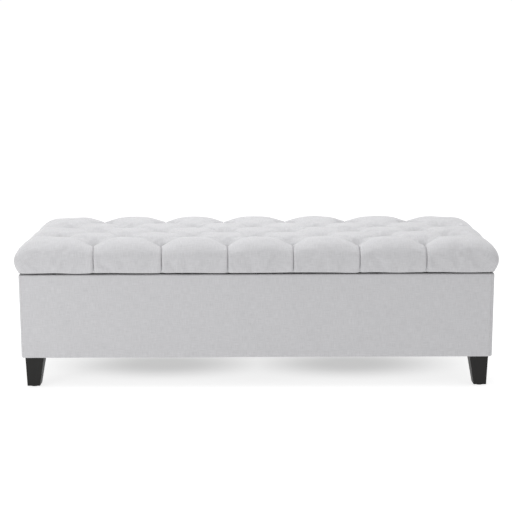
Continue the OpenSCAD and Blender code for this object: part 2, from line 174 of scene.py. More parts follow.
class Shader:
    """A new material: constants for its shader's sockets, and the tools to build its node tree."""

    def __init__(self, name, color, **constants):
        self.material = bpy.data.materials.new(name)
        self.material.use_nodes = True
        self.material.diffuse_color = (*color, 1)
        self.color = color
        self.tree = self.material.node_tree
        self.inputs = self.tree.nodes["Principled BSDF"].inputs
        self.inputs["Base Color"].default_value = (*color, 1)
        for key, value in constants.items():
            self.inputs[key.replace("_", " ")].default_value = value

    def connect(self, name, socket):
        self.tree.links.new(socket, self.inputs[name])

    def connect_color(self, factor, shades, span):
        """The base colour goes from one shade of its colour to another while factor crosses span."""
        ramp = node(self.tree, "ValToRGB", {"Fac": factor})
        for element, shade, position in zip(ramp.color_ramp.elements, shades, span):
            element.position = position
            element.color = (*(c * shade for c in self.color), 1)
        self.connect("Base Color", ramp.outputs["Color"])

    def connect_roughness(self, factor, low, high):
        rough = node(self.tree, "MapRange", {"Value": factor, "To Min": low, "To Max": high})
        self.connect("Roughness", rough.outputs[0])

    def connect_bump(self, height, distance, strength):
        bump = node(self.tree, "Bump", {"Height": height, "Distance": distance, "Strength": strength})
        self.connect("Normal", bump.outputs["Normal"])

    def place(self):
        """Where a point is on its piece, in metres."""
        return node(self.tree, "TexCoord").outputs["Object"]

    def maths(self, operation, *values):
        return node(self.tree, "Math", dict(enumerate(values)), operation=operation).outputs[0]

    def vectors(self, operation, inputs):
        return node(self.tree, "VectorMath", inputs, operation=operation).outputs[0]

    def noise(self, vector, scale, detail=3.0, roughness=0.55):
        """Noise with a scale of its own along each axis, in cycles per metre."""
        mapped = node(self.tree, "Mapping", {"Vector": vector, "Scale": scale}).outputs[0]
        inputs = {"Vector": mapped, "Scale": 1.0, "Detail": detail, "Roughness": roughness}
        return node(self.tree, "TexNoise", inputs).outputs["Fac"]


THREAD_PITCH, THREAD_WANDER = 1.25 * MM, 0.7 * MM
SLUB_LONG, SLUB_ACROSS = 45, 620  # cycles per metre along a slub and across it
MOTTLE_SCALE = (14, 60, 1)  # cycles per metre of the cloth's faint clouds
SLUB_TONE, MOTTLE_TONE, WEAVE_TONE = 0.40, 0.06, 0.10
SLUB_HEIGHT = 0.9  # against the weave's own height


def linen(name, color):
    """Plain-weave linen-look cloth: slubbed threads both ways, with the flat cloth's own coordinates."""
    look = Shader(name, color, Roughness=0.92, Specular_IOR_Level=0.18, Sheen_Weight=0.22,
                  Sheen_Roughness=0.45)
    flat = node(look.tree, "Attribute", attribute_name="threads").outputs["Vector"]
    wobble = node(look.tree, "TexNoise", {"Vector": flat, "Scale": 160.0, "Detail": 2.0})
    centred = look.vectors("SUBTRACT", {0: wobble.outputs["Color"], 1: (0.5, 0.5, 0.5)})
    shift = look.vectors("SCALE", {0: centred, "Scale": THREAD_WANDER})
    axes = node(look.tree, "SeparateXYZ", {0: look.vectors("ADD", {0: flat, 1: shift})})
    warp, weft = (look.maths("SINE", look.maths("MULTIPLY", axes.outputs[i], math.pi / THREAD_PITCH))
                  for i in (0, 1))
    over = look.maths("MULTIPLY", warp, weft)
    ridges = look.maths("ADD", look.maths("ABSOLUTE", warp), look.maths("ABSOLUTE", weft))
    weave = look.maths("MULTIPLY_ADD", over, 0.35, look.maths("MULTIPLY", ridges, 0.5))
    slub_x = look.noise(flat, (SLUB_LONG, SLUB_ACROSS, 1))
    slub_y = look.noise(flat, (SLUB_ACROSS, SLUB_LONG, 1))
    slubs = look.maths("ADD", slub_x, slub_y)
    mottle = look.noise(flat, MOTTLE_SCALE, detail=4.0)
    tone = look.maths("ADD", look.maths("MULTIPLY", slubs, SLUB_TONE),
                      look.maths("MULTIPLY", mottle, MOTTLE_TONE))
    tone = look.maths("MULTIPLY_ADD", weave, WEAVE_TONE, tone)
    look.connect_color(tone, shades=(0.80, 1.20), span=(0.30, 0.82))
    look.connect_bump(look.maths("MULTIPLY_ADD", slubs, SLUB_HEIGHT, weave), 0.28 * MM, 0.55)
    return look.material


def stained_wood(name, color):
    """Dark stained hardwood: upright grain, open pores and a satin lacquer."""
    look = Shader(name, color, Roughness=0.5, Specular_IOR_Level=0.3, Coat_Weight=0.05, Coat_Roughness=0.4)
    place = look.place()
    grain = look.noise(place, (90, 90, 7), detail=5.0, roughness=0.6)
    pores = look.noise(place, (420, 420, 26), detail=2.0)
    mixed = look.maths("MULTIPLY_ADD", pores, 0.35, look.maths("MULTIPLY", grain, 0.65))
    look.connect_color(mixed, shades=(0.62, 1.55), span=(0.3, 0.72))
    look.connect_roughness(mixed, 0.42, 0.6)
    look.connect_bump(mixed, 0.12 * MM, 0.5)
    return look.material


def raw_wood(name, color):
    """Sawn timber or plywood: growth rings and fibres stretched along the bench."""
    look = Shader(name, color, Roughness=0.72, Specular_IOR_Level=0.3)
    place = look.place()
    scale = (2.2, 30, 30)
    rings = look.noise(place, scale, detail=6.0, roughness=0.62)
    fibres = look.noise(place, tuple(s * 11 for s in scale), detail=2.0)
    mixed = look.maths("MULTIPLY_ADD", fibres, 0.3, look.maths("MULTIPLY", rings, 0.7))
    look.connect_color(mixed, shades=(0.66, 1.18), span=(0.32, 0.7))
    look.connect_bump(mixed, 0.2 * MM, 0.5)
    return look.material


def zinc_steel(name, color):
    """Bright zinc plate: metal with fine rolling marks and a faint mottled bloom."""
    look = Shader(name, color, Metallic=1.0, Roughness=0.34)
    place = look.place()
    brushed = look.noise(place, (60, 900, 900), detail=2.0)
    bloom = look.noise(place, (70, 70, 70), detail=4.0)
    look.connect_roughness(bloom, 0.26, 0.48)
    look.connect_color(bloom, shades=(0.82, 1.1), span=(0.3, 0.7))
    look.connect_bump(brushed, 0.04 * MM, 0.4)
    return look.material


def spunbond(name, color):
    """Black non-woven lining cloth: matted fibres, point-bonded in a pattern of small dimples."""
    look = Shader(name, color, Roughness=0.85, Specular_IOR_Level=0.25, Sheen_Weight=0.12,
                  Sheen_Roughness=0.5)
    place = look.place()
    dots = node(look.tree, "TexVoronoi", {"Vector": place, "Scale": 520.0, "Randomness": 0.25})
    fibres = node(look.tree, "TexNoise", {"Vector": place, "Scale": 900.0, "Detail": 3.0})
    mixed = look.maths("MULTIPLY_ADD", fibres.outputs["Fac"], 0.5, dots.outputs["Distance"])
    look.connect_color(mixed, shades=(0.6, 1.8), span=(0.2, 0.9))
    look.connect_bump(mixed, 0.15 * MM, 0.6)
    return look.material


def matte_solid(name, color, rough, grain, depth):
    """Foam, rubber or twine: a matte solid with a fine all-over texture."""
    look = Shader(name, color, Roughness=rough, Specular_IOR_Level=0.3)
    noise = node(look.tree, "TexNoise", {"Vector": look.place(), "Scale": grain, "Detail": 4.0})
    look.connect_color(noise.outputs["Fac"], shades=(0.8, 1.15), span=(0.3, 0.7))
    look.connect_bump(noise.outputs["Fac"], depth, 0.6)
    return look.material


slot_materials = {
    "grey_linen": linen("grey_linen", (0.516, 0.514, 0.527)),
    "espresso_wood": stained_wood("espresso_wood", (0.0035, 0.0034, 0.0028)),
    "plywood": raw_wood("plywood", (0.60, 0.43, 0.25)),
    "pine": raw_wood("pine", (0.68, 0.50, 0.29)),
    "foam": matte_solid("foam", (0.80, 0.75, 0.55), 0.9, 700.0, 0.4 * MM),
    "black_lining": spunbond("black_lining", (0.016, 0.016, 0.018)),
    "twine": matte_solid("twine", (0.68, 0.60, 0.44), 0.8, 1500.0, 0.2 * MM),
    "rubber": matte_solid("rubber", (0.025, 0.025, 0.026), 0.7, 500.0, 0.1 * MM),
    "zinc_steel": zinc_steel("zinc_steel", (0.66, 0.66, 0.69)),
}

# ---------- lid cushion ----------

STEPS = 16  # mesh steps per row of buttons and per half pitch
SHOULDER_STEPS, SIDE_STEPS = 18, 6  # over the lid's edge, above and below WIDEST
CROWN_EDGE = (37.0, 21.0)  # mm of flat crown beyond the buttons, in x and y
CORNER_SPOKES = 14
CORNER_POWER = (2.6, 8.0)  # at the crown and at the hem; 2 is a round corner in plan, more is squarer
SHOULDER_POWER = 2.2  # the same for the edge's outline
WIDEST = 32.0  # mm above the hem
HEM_ROLL = 2.5  # mm
FLANGE = 14.0  # mm of cloth turned under
BULGE = box_low[0] - lid_low[0]
CROWN_DROP = 5.0  # mm from the tufts' crest to the undented crown
BUTTON_DEPTH = lid_high[2] - CROWN_DROP - button_low[2]
DEPTH_SPREAD = 1.2  # mm, more or less, from one button to another
SEAT_SHARE = 0.85  # of a button's radius, held flat
DIAGONAL_DEPTH = (5.0, 8.0)  # mm, least and most, half-way along a diagonal crease
CREASE_FALL = 2.1  # how quickly a crease climbs away from its button
PLEAT_REACH = (0, 25, 55, 85, 112, 150)  # mm from a button over the edge of the lid
PLEAT_SAG = (1.0, 0.74, 0.26, 0.10, 0.04, 0.02)  # share of its depth that the sag keeps
PLEAT_FOLD = (0.0, 3.0, 6.0, 7.0, 7.0, 6.5)  # how much deeper the narrow fold itself is
FOLD_WIDTH = 1.6  # mm
PLEAT_SPREAD = (0.92, 1.08)  # least and most share of those depths that a pleat has
END_SHARE = 0.6  # of those depths, in the pleats over the lid's ends
LONG_GAP = 60.0  # mm from a button to the crown's edge for END_SHARE in full
FOLD_AT_HEM = 0.6  # share of a fold's depth that is left at the hem
SAG_LENGTH = 42.0  # mm over which a pillow rises from its creases
FULL_LIFT = 0.66  # share of a wide sheet's rise that counts as a pillow's top
STEEP = 0.22  # share of the rise that is close to the crease
STEEP_POWER, GENTLE_POWER = 0.5, 1.6  # how that share and the rest of it climb
WELL = (5.0, 37.0)  # mm from a button between which pillows rise from its well
PILLOW_TOP = 1.5  # mm that a pillow stands above the undented crown
PILLOW_SIDE = 0.5  # and past the undented sides
CROWN_FACING = (0.05, 0.9)  # normal's z on a side and on the crown
HEM_BAND = 14.0  # mm above the hem over which the pillows start
HELD_RINGS = 6  # fixed mesh rings, at the hem and on the flange
END_FALL = 5.0  # mm that the crown falls towards its ends
FALL_FROM, FALL_TO = 20.0, 40.0  # mm in from the last front button and the lid's end
PINCH, PINCH_REACH = 0.85, 10.0  # how the mesh closes up beside a straight pleat
PINCH_START = (-4, 12)  # mm past the outermost buttons
HEM_WAVES = (0.6, 140, 30)  # mm: how high, how long, and how far up from the hem they go
SKIN_WAVES = (0.2, 60)  # mm: how high and how long, all over the pillows
# Tufts set by hand: at each of these distances back from the lid's middle, how far along x the six
# tufts of a row are out of place. All in mm.
HAND_ROWS = (-245, -166, -83, 0, 83, 166, 245)
HAND_SET = ((20, 20, 15, 8, 4, 0), (11, 12, 9, 4, -1, -4), (-2, -3, 1, 0, 2, -2),
            (0, -2, 1, 2, -1, 1), (-4, -6, -4, -5, -4, -6), (-4, -1, -7, -4, -4, 0),
            (-5, -1, -8, -4, -4, 1))


def superellipse(power, count):
    """count + 1 points, evenly apart, along a quarter of a superellipse from (0, 1) to (1, 0)."""
    angle = np.linspace(0, math.pi / 2, 400)
    fine = np.column_stack([np.sin(angle), np.cos(angle)]) ** (2 / power)
    along = np.concatenate([[0], np.cumsum(np.linalg.norm(np.diff(fine, axis=0), axis=1))])
    at = np.linspace(0, along[-1], count + 1)
    return np.column_stack([np.interp(at, along, fine[:, k]) for k in (0, 1)])


def edge_profile(reach):
    """Outward offset and height above the hem, from the crown's edge to the flange under the hem."""
    top = lid_high[2] - lid_low[2] - CROWN_DROP
    shoulder = superellipse(SHOULDER_POWER, SHOULDER_STEPS)
    upper = [(reach * x, WIDEST + (top - WIDEST) * z) for x, z in shoulder[1:]]
    lower = [(reach - BULGE * (1 - h / WIDEST) ** 2, h)
             for h in np.linspace(WIDEST, HEM_ROLL, SIDE_STEPS + 1)[1:]]
    side = lower[-1][0]
    roll = [(side - HEM_ROLL * (1 - math.cos(t)), HEM_ROLL * (1 - math.sin(t)))
            for t in np.radians([30, 60, 90])]
    under = [(side - HEM_ROLL - FLANGE * t, 0.0) for t in (0.5, 1.0)]
    return np.array(upper + lower + roll + under)


def pinched(distance):
    """A signed distance from a straight pleat, after the mesh is closed up beside it."""
    return distance * (1 - PINCH * np.exp(-(distance / PINCH_REACH) ** 2))


def hand_set(points):
    """Moves places on the lid as tufts set by hand do: no row is quite regular."""
    moved = np.array(points, float)
    x, y = points[:, 0], points[:, 1]
    knots = np.concatenate([[lid_low[0]], front_row, [lid_high[0]]])
    rows = np.array([np.interp(x, knots, (0, *row, 0)) for row in HAND_SET])
    place = np.clip(np.interp(y, HAND_ROWS, np.arange(len(HAND_ROWS))), 0, len(HAND_ROWS) - 1.001)
    below = place.astype(int)
    part = smooth_step(place - below, 0, 1)
    index = np.arange(len(x))
    moved[:, 0] += rows[below, index] * (1 - part) + rows[below + 1, index] * part
    return moved


def nearest_offset(values, targets):
    """Signed distance from each value to its nearest target."""
    apart = values[:, None] - np.asarray(targets)[None, :]
    return apart[np.arange(len(values)), np.abs(apart).argmin(1)]


class Cushion:
    """The tufted cover as a flat crown grid, with a skirt of spokes that run over its edge to the hem."""

    def __init__(self):
        self.hx, self.hy = tuft_pitch / 2 / STEPS, row_pitch / STEPS
        self.nx = round((second_row[-1] + CROWN_EDGE[0]) / self.hx)
        self.ny = round((row_ys[-1] + CROWN_EDGE[1]) / self.hy)
        self.reach = np.array([lid_high[0] - self.nx * self.hx, lid_high[1] - self.ny * self.hy])
        self.crown_z = lid_high[2] - CROWN_DROP
        self.build_grid()
        self.build_skirt()
        self.pinch_pleats()

    def build_grid(self):
        columns, rows = np.arange(-self.nx, self.nx + 1), np.arange(-self.ny, self.ny + 1)
        x, y = np.meshgrid(columns * self.hx, rows * self.hy)
        self.points = np.column_stack([x.ravel(), y.ravel(), np.full(x.size, self.crown_z)])
        self.threads = self.points[:, :2].copy()
        self.grid = np.arange(x.size).reshape(x.shape)
        g = self.grid
        self.quads = np.stack([g[:-1, :-1], g[:-1, 1:], g[1:, 1:], g[1:, :-1]], -1).reshape(-1, 4)

    def spokes(self):
        """Each spoke's grid row, grid column, direction and corner step, anticlockwise from the front."""
        last_y, last_x = self.grid.shape[0] - 1, self.grid.shape[1] - 1
        front = [(0, i) for i in range(last_x + 1)]
        right = [(j, last_x) for j in range(last_y + 1)]
        back = [(last_y, i) for i in range(last_x, -1, -1)]
        left = [(j, 0) for j in range(last_y, -1, -1)]
        found = []
        for line, out in ((front, (0, -1)), (right, (1, 0)), (back, (0, 1)), (left, (-1, 0))):
            found += [(j, i, out, 0) for j, i in line]
            found += [(*line[-1], out, k) for k in range(1, CORNER_SPOKES)]
        return found

    def build_skirt(self):
        spokes = self.spokes()
        profiles = [edge_profile(r) for r in self.reach]
        top = [0, self.crown_z - lid_low[2]]
        self.arc = np.cumsum(np.hypot(*np.diff(np.vstack([top, profiles[1]]), axis=0).T))
        self.levels = len(self.arc)
        start = len(self.points)
        self.ring = np.zeros((len(spokes), self.levels + 1), int)
        made, flat = [], []
        powers = np.interp(profiles[1][:, 1], (WIDEST, top[1]), CORNER_POWER[::-1])
        corners = np.array([superellipse(power, CORNER_SPOKES) for power in powers])
        for s, (j, i, out, k) in enumerate(spokes):
            anchor = self.points[self.grid[j, i]]
            across, ahead = corners[:, k].T
            way = np.column_stack([out[0] * ahead - out[1] * across, out[1] * ahead + out[0] * across])
            self.ring[s, 0] = self.grid[j, i]
            self.ring[s, 1:] = start + s * self.levels + np.arange(self.levels)
            x = anchor[0] + way[:, 0] * profiles[0][:, 0]
            y = anchor[1] + way[:, 1] * profiles[1][:, 0]
            made.append(np.column_stack([x, y, lid_low[2] + profiles[1][:, 1]]))
            flat.append(anchor[:2] + self.arc[:, None] * way / np.linalg.norm(way, axis=1)[:, None])
        self.points = np.vstack([self.points, *made])
        self.threads = np.vstack([self.threads, *flat])
        following = np.roll(self.ring, -1, axis=0)
        strips = np.stack([self.ring[:, :-1], self.ring[:, 1:], following[:, 1:], following[:, :-1]], -1)
        self.quads = np.vstack([self.quads, strips.reshape(-1, 4)])
        self.spoke_list = spokes

    def pinch_pleats(self):
        """Closes the mesh up beside the straight pleats, so that they can be narrow."""
        x, y = self.points[:, 0].copy(), self.points[:, 1].copy()
        past_rows = smooth_step(np.abs(y), *(row_ys[-1] + far for far in PINCH_START))
        past_ends = smooth_step(np.abs(x), *(second_row[-1] + far for far in PINCH_START))
        off_x, off_y = nearest_offset(x, front_row), nearest_offset(y, row_ys[1::2])
        self.points[:, 0] += past_rows * (pinched(off_x) - off_x)
        self.points[:, 1] += past_ends * (pinched(off_y) - off_y)

    def at(self, x, y):
        """Grid row and column of a place on the crown."""
        return round(y / self.hy) + self.ny, round(x / self.hx) + self.nx

    def faces(self, folds):
        """All faces, with those that a diagonal crease crosses split along it."""
        faces = []
        for a, b, c, d in self.quads.tolist():
            if a == d:
                faces.append((a, b, c))
            elif (a, c) in folds or (c, a) in folds:
                faces += [(a, b, c), (a, c, d)]
            elif (b, d) in folds or (d, b) in folds:
                faces += [(a, b, d), (b, c, d)]
            else:
                faces.append((a, b, c, d))
        return faces


class Creases:
    """Where the cover is held down: how deep each held point is, and the edges along the creases."""

    def __init__(self, cushion):
        self.depth = np.full(len(cushion.points), np.nan)
        self.fold = np.zeros(len(cushion.points))
        self.edges = set()
        rng = np.random.default_rng(7)
        places = {cushion.at(x, y): BUTTON_DEPTH + rng.uniform(-DEPTH_SPREAD, DEPTH_SPREAD)
                  for x, y, _ in buttons}
        for (j, i), depth in places.items():
            for side in (-1, 1):
                end = (j + STEPS, i + side * STEPS)
                if end in places:
                    line = [cushion.grid[j + t, i + side * t] for t in range(STEPS + 1)]
                    self.hold_diagonal(line, depth, places[end], rng.uniform(*DIAGONAL_DEPTH))
        self.hold_pleats(cushion, places, rng)
        for (j, i), depth in places.items():
            middle = cushion.points[cushion.grid[j, i]]
            apart = np.linalg.norm(cushion.points - middle, axis=1)
            self.depth[apart < button_r * SEAT_SHARE] = depth

    def hold(self, line, depths):
        """Holds a line of points at their depths, with a sharp edge along it."""
        for index, depth in zip(line, depths):
            self.depth[index] = depth
        self.edges.update((int(a), int(b)) for a, b in zip(line, line[1:]))

    def hold_diagonal(self, line, start, end, middle):
        """A crease that rises from one button to its middle depth, and falls to the next button."""
        along = np.linspace(-1, 1, len(line))
        seat = np.where(along < 0, start, end)
        self.hold(line, middle + (seat - middle) * np.abs(along) ** CREASE_FALL)

    def hold_pleats(self, cushion, places, rng):
        """Straight pleats from the outermost buttons over the edge of the lid to its hem."""
        for s, (j, i, out, k) in enumerate(cushion.spoke_list):
            if k:
                continue
            inward = (-out[1], -out[0])
            steps = next((t for t in range(1, STEPS)
                          if (j + inward[0] * t, i + inward[1] * t) in places), None)
            if steps is None:
                continue
            place = (j + inward[0] * steps, i + inward[1] * steps)
            crown = [cushion.grid[place[0] - inward[0] * t, place[1] - inward[1] * t]
                     for t in range(steps + 1)]
            line = crown + list(cushion.ring[s, 1:cushion.levels - 3])
            gap = steps * (cushion.hy if out[0] == 0 else cushion.hx)
            reach = np.concatenate([np.linspace(0, gap, steps + 1),
                                    gap + cushion.arc[:cushion.levels - 4]])
            share = rng.uniform(*PLEAT_SPREAD)
            if out[0] != 0:
                share *= 1 - (1 - END_SHARE) * min(1, gap / LONG_GAP)
            sag = np.interp(reach, PLEAT_REACH, PLEAT_SAG) ** (1 / share)
            self.hold(line, places[place] * sag)
            self.carve(cushion, s, steps, share)

    def carve(self, cushion, s, steps, share):
        """The narrow fold along a pleat, over the neighbouring mesh lines too."""
        j, i, out, _ = cushion.spoke_list[s]
        inward = (-out[1], -out[0])
        gap = steps * (cushion.hy if out[0] == 0 else cushion.hx)
        side = 0 if out[0] == 0 else 1
        centre = cushion.points[cushion.grid[j, i], side]
        for near in (-2, -1, 0, 1, 2):
            row, column = cushion.spoke_list[s + near][:2]
            crown = [cushion.grid[row + inward[0] * t, column + inward[1] * t] for t in range(steps)]
            line = np.array(crown[::-1] + list(cushion.ring[s + near, 1:cushion.levels - 1]))
            reach = np.concatenate([np.linspace(0, gap, steps), gap + cushion.arc[:cushion.levels - 2]])
            apart = cushion.points[line, side] - centre
            narrow = np.exp(-(apart / FOLD_WIDTH) ** 2)
            self.fold[line] += share * narrow * np.interp(reach, PLEAT_REACH, PLEAT_FOLD)


LEAST_WEIGHT = 0.02  # that a mesh edge pulls with
SMALL_REST = 1e-10  # squared error of a solved sheet


def cotangent_edges(points, faces):
    """The mesh's edges, their cotangent weights, each point's share of the surface, and the triangles."""
    triangles = np.array([t for f in faces for t in ((f[:3],) if len(f) == 3
                                                     else (f[:3], (f[0], f[2], f[3])))])
    pairs, weights = [], []
    area = np.zeros(len(points))
    for k in range(3):
        a, b, c = triangles[:, k], triangles[:, (k + 1) % 3], triangles[:, (k + 2) % 3]
        u, v = points[a] - points[c], points[b] - points[c]
        doubled = np.linalg.norm(np.cross(u, v), axis=1)
        pairs.append(np.column_stack([a, b]))
        weights.append(0.5 * (u * v).sum(1) / np.maximum(doubled, 1e-9))
        np.add.at(area, c, doubled / 6)
    pairs, weights = np.sort(np.vstack(pairs), axis=1), np.concatenate(weights)
    edges, inverse = np.unique(pairs, axis=0, return_inverse=True)
    return edges, np.maximum(np.bincount(inverse.ravel(), weights), LEAST_WEIGHT), area, triangles


def relax(edges, weights, extra, load, fixed, values, turns=600):
    """Solves a stretched sheet's heights by conjugate gradients, with some points fixed."""
    i, j = edges.T
    count = len(load)
    degree = np.bincount(i, weights, count) + np.bincount(j, weights, count) + extra

    def pull(x):
        return degree * x - np.bincount(i, weights * x[j], count) - np.bincount(j, weights * x[i], count)

    x = np.where(fixed, values, 0.0)
    rest = np.where(fixed, 0.0, load - pull(x))
    way = rest / degree
    size = rest @ way
    for _ in range(turns):
        pulled = np.where(fixed, 0.0, pull(way))
        step = size / (way @ pulled)
        x += step * way
        rest -= step * pulled
        scaled = rest / degree
        size, old = rest @ scaled, size
        if size < SMALL_REST:
            break
        way = scaled + size / old * way
    return x


def point_normals(points, triangles):
    """Each point's unit normal, the mean of its triangles' normals by area."""
    across = np.cross(points[triangles[:, 1]] - points[triangles[:, 0]],
                      points[triangles[:, 2]] - points[triangles[:, 0]])
    normals = np.zeros_like(points)
    for k in range(3):
        np.add.at(normals, triangles[:, k], across)
    return normals / np.maximum(np.linalg.norm(normals, axis=1), 1e-12)[:, None]


def tufted_shape(cushion, creases, faces):
    """Pillows between held creases: from a slack skin over the creases up to the full form."""
    fixed = ~np.isnan(creases.depth)
    values = -np.nan_to_num(creases.depth)
    fixed[cushion.ring[:, -HELD_RINGS:].ravel()] = True
    edges, weights, area, triangles = cotangent_edges(cushion.points, faces)
    nothing = np.zeros(len(area))
    slack = relax(edges, weights, nothing, nothing, fixed, values)
    spring = area / SAG_LENGTH ** 2
    lift = relax(edges, weights, spring, spring, fixed, nothing)
    normals = point_normals(cushion.points, triangles)
    if normals[cushion.grid[0, 0], 2] < 0:
        normals = -normals
    crown = smooth_step(normals[:, 2], *CROWN_FACING)
    hem = smooth_step(cushion.points[:, 2], lid_low[2], lid_low[2] + HEM_BAND)
    full = (PILLOW_SIDE + (PILLOW_TOP - PILLOW_SIDE) * crown) * hem
    full -= END_FALL * crown * smooth_step(np.abs(cushion.points[:, 0]), front_row[-1] - FALL_FROM,
                                           lid_high[0] - FALL_TO)
    share = np.clip(lift / FULL_LIFT, 0, 1)
    rise = STEEP * share ** STEEP_POWER + (1 - STEEP) * share ** GENTLE_POWER
    from_button = np.min([np.hypot(*(cushion.points[:, :2] - b[:2]).T) for b in buttons], axis=0)
    share = rise * smooth_step(from_button, *WELL)
    folds = creases.fold * (FOLD_AT_HEM + (1 - FOLD_AT_HEM) * hem)
    height = slack * (1 - share) + full * share - folds
    return cushion.points + normals * height[:, None], fixed, normals


def simulate(obj, pinned, frames, cap, pressure, growth):
    """Cloth simulation with its result kept in the mesh, each point moving at most cap millimetres."""
    group = obj.vertex_groups.new(name="pins")
    group.add([int(i) for i in np.flatnonzero(pinned)], 1.0, "REPLACE")
    cloth = obj.modifiers.new("Cloth", "CLOTH")
    settings = cloth.settings
    settings.quality = 6
    settings.mass = 0.25
    settings.air_damping = 4
    settings.tension_stiffness = settings.compression_stiffness = 18
    settings.shear_stiffness = 8
    settings.bending_stiffness = 0.4
    settings.vertex_group_mass = "pins"
    settings.shrink_min = -growth
    settings.use_pressure = True
    settings.uniform_pressure_force = pressure
    settings.effector_weights.gravity = 0
    cloth.collision_settings.use_collision = False
    cloth.point_cache.frame_start, cloth.point_cache.frame_end = 1, frames
    scene.frame_start, scene.frame_end = 1, frames
    for step in range(1, frames + 1):
        scene.frame_set(step)
    result = obj.evaluated_get(bpy.context.evaluated_depsgraph_get())
    before = read_points(obj.data)
    move = read_points(result.data) - before
    size = np.linalg.norm(move, axis=1)
    move *= (np.minimum(size, cap * MM) / np.maximum(size, 1e-9))[:, None]
    obj.modifiers.remove(cloth)
    obj.vertex_groups.remove(group)
    obj.data.vertices.foreach_set("co", (before + move).ravel())
    scene.frame_set(1)


def subdivide(obj):
    """One level of smooth subdivision, kept in the mesh."""
    smooth = obj.modifiers.new("smooth", "SUBSURF")
    smooth.levels = smooth.render_levels = 1
    result = obj.evaluated_get(bpy.context.evaluated_depsgraph_get())
    finer = bpy.data.meshes.new_from_object(result)
    obj.modifiers.remove(smooth)
    obj.data = finer


def close_hole(obj, height):
    """Brings a mesh's one open edge to one height, in millimetres, and fills it with a flat face."""
    with editing(obj.data) as made:
        border = [e for e in made.edges if e.is_boundary]
        for vertex in {v for e in border for v in e.verts}:
            vertex.co.z = height * MM
        bmesh.ops.holes_fill(made, edges=border, sides=0)


BOARD_GAP = 0.7  # mm from the lid board's edges to the cover
BOARD_BAND = (0.4, 1.0)  # mm below and above the board, still beside it
LINING_GAP = 0.15  # mm from the lid's lining up to the flange
LINING_MARGIN = 1.0  # mm past the lining's edges, still over it
FLANGE_GAP = 0.3  # mm from the board down to the face that closes the cover


def keep_off_board(obj):
    """Pushes the cover's sides out past the edges of the lid board, and its flange up off the lining."""
    places = read_points(obj.data) / MM
    height = places[:, 2]
    beside = (height > board_low[2] - BOARD_BAND[0]) & (height < board_high[2] + BOARD_BAND[1])
    limit = board_high[:2] + BOARD_GAP
    depth = limit - np.abs(places[:, :2])
    inside = beside & (depth > 0).all(1)
    side = depth.argmin(1)
    for axis in (0, 1):
        pushed = inside & (side == axis)
        places[pushed, axis] = np.sign(places[pushed, axis]) * limit[axis]
    over_lining = (np.abs(places[:, :2]) < lining_high[:2] + LINING_MARGIN).all(1)
    flange = over_lining & (height < board_low[2])
    places[flange, 2] = np.maximum(height[flange], lining_high[2] + LINING_GAP)
    obj.data.vertices.foreach_set("co", (places * MM).ravel())


def lid_cushion():
    """The tufted cover with its foam, as one closed piece that hangs over the lid board."""
    cushion = Cushion()
    creases = Creases(cushion)
    faces = cushion.faces(creases.edges)
    shaped, fixed, normals = tufted_shape(cushion, creases, faces)
    tall, long, up = HEM_WAVES
    low = smooth_step(-shaped[:, 2], -lid_low[2] - up, -lid_low[2])
    shaped[:, 2] += low * tall * waves(shaped[:, :2], 3, long)
    tall, long = SKIN_WAVES
    shaped += normals * (~fixed * tall * waves(shaped, 5, long))[:, None]
    shaped = hand_set(shaped)
    obj = make_object("lid_cushion_cover", shaped, faces, cushion.threads, creases.edges)
    simulate(obj, fixed, frames=16, cap=4.0, pressure=2.0, growth=0.03)
    subdivide(obj)
    keep_off_board(obj)
    close_hole(obj, board_low[2] - FLANGE_GAP)
    finish_piece(obj, "lid", "grey_linen", "lid_cover", "lid_foam")


BUTTON_RINGS = ((0.0, 6.4), (3.0, 6.2), (6.0, 5.5), (8.4, 4.3), (10.0, 2.8), (10.8, 1.2), (10.6, 0.0),
                (8.0, -0.8))  # mm out and up, on a button of the radius below
DRAWN_R = 11.0
BUTTON_SIDES = 32
BUTTON_LEAN = 0.09  # radians, at most
GATHERS, GATHER_DEPTH, GATHER_R = 11, 0.018, 10.0  # their number, and their depth's share at a radius


def button_points(seat, lean, turn):
    """A button's points: the middle of its top, then ring after ring down to its foot."""
    angle = np.arange(BUTTON_SIDES) * 2 * math.pi / BUTTON_SIDES
    scale = button_r / DRAWN_R
    points = [seat + lean @ [0, 0, BUTTON_RINGS[0][1] * scale]]
    for r, z in BUTTON_RINGS[1:]:
        gather = 1 + GATHER_DEPTH * (r / GATHER_R) ** 4 * np.cos(GATHERS * (angle + turn))
        circle = np.column_stack([r * gather * np.cos(angle), r * gather * np.sin(angle),
                                  np.full(BUTTON_SIDES, z)]) * scale
        points += list(seat + circle @ lean.T)
    return points


def button_faces(top):
    """A button's faces, where top is the number of its first point."""
    count = BUTTON_SIDES
    starts = [top + 1 + ring * count for ring in range(len(BUTTON_RINGS) - 1)]
    faces = [(top, starts[0] + k, starts[0] + (k + 1) % count) for k in range(count)]
    for a, b in zip(starts, starts[1:]):
        faces += [(a + k, b + k, b + (k + 1) % count, a + (k + 1) % count) for k in range(count)]
    faces.append([starts[-1] + k for k in range(count)])
    return faces


def covered_buttons():
    """Domed buttons wrapped in the cover's cloth, gathered a little at the rim."""
    rng = np.random.default_rng(11)
    points, faces = [], []
    for x, y, _ in hand_set(buttons):
        lean = np.array(Euler(rng.uniform(-BUTTON_LEAN, BUTTON_LEAN, 3)).to_matrix())
        turn = rng.uniform(0, 2 * math.pi)
        faces += button_faces(len(points))
        points += button_points(np.array([x, y, button_low[2]]), lean, turn)
    obj = make_object("covered_buttons", points, faces, np.array(points)[:, :2])
    finish_piece(obj, "lid", "grey_linen", "tuft_buttons")


# ---------- box upholstery ----------

